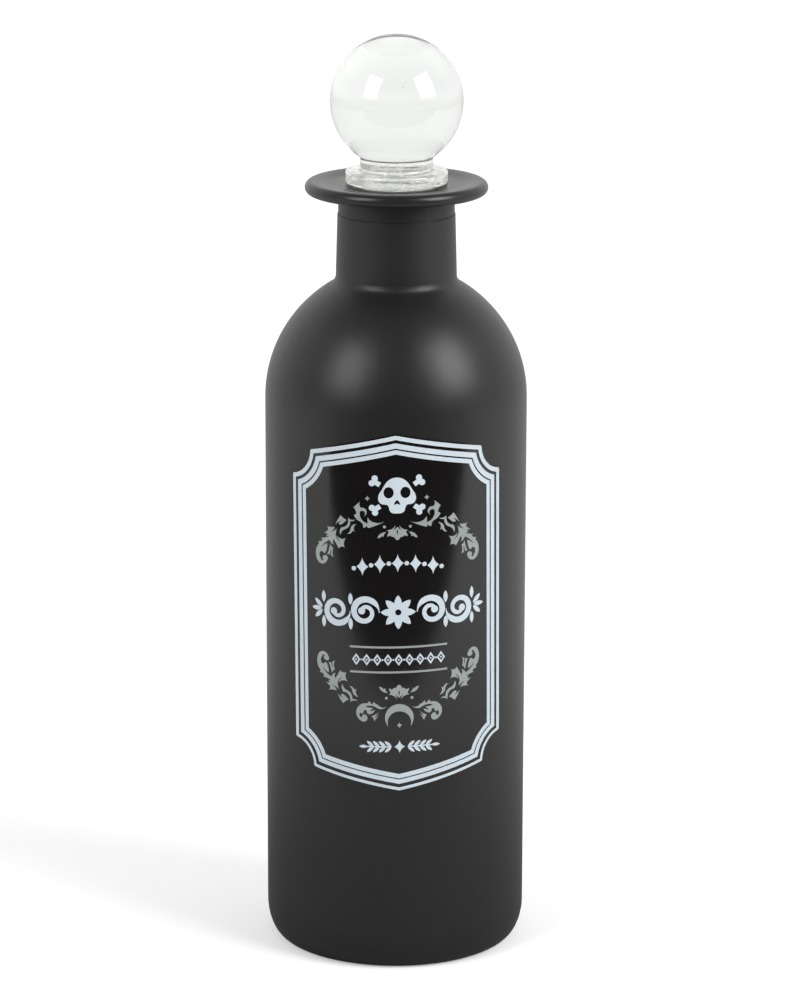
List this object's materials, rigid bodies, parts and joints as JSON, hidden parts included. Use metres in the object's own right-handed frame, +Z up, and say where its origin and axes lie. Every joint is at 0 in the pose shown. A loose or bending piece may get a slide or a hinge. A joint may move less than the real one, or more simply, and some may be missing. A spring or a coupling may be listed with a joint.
{
  "type": "poison bottle",
  "caption": "Round matt black glass bottle with a clear glass ball stopper that lifts out and turns, and a wrapped glossy label with a skull, crossed bones and leaf scrolls.",
  "frame": {"origin": "centre of the round base, on the surface that the bottle stands on", "axes": "+Z up through the neck and stopper; the label faces -Y, with +X to its right as it is read"},
  "size_m": [0.085, 0.0853, 0.3006],
  "materials": {
    "coated_glass": "matt black coat on glass",
    "clear_glass": "clear, polished, very faintly green",
    "seal_plastic": "milky translucent moulded plastic",
    "black_film": "smooth glossy black film",
    "white_print": "satin white print with a cool tint",
    "grey_print": "satin grey print"
  },
  "bodies": {
    "bottle_body": {"bottle": "coated_glass", "label_film": "black_film", "print_frame_outer": "white_print", "print_frame_middle": "white_print", "print_frame_inner": "white_print", "print_skull": "white_print", "print_crossed_bones": "white_print", "print_sparkles": "grey_print", "print_upper_sprays": "grey_print", "print_lower_sprays": "grey_print", "print_palmettes": "grey_print", "print_crescent": "grey_print", "print_arched_row": "white_print", "print_scroll_band": "white_print", "print_rules": "grey_print", "print_lozenge_chain": "white_print", "print_laurel_row": "white_print"},
    "seal_body": {"seal_sleeve": "seal_plastic"},
    "stopper_body": {"stopper": "clear_glass"}
  },
  "joints": [
    {"name": "stopper_lift", "type": "slide", "parent": "bottle_body", "child": "seal_body", "axis": [0, 0, 1], "range_m": [0, 0.06]},
    {"name": "stopper_turn", "type": "hinge", "parent": "seal_body", "child": "stopper_body", "pos_m": [0, 0, 0.24], "axis": [0, 0, 1], "continuous": true}
  ]
}
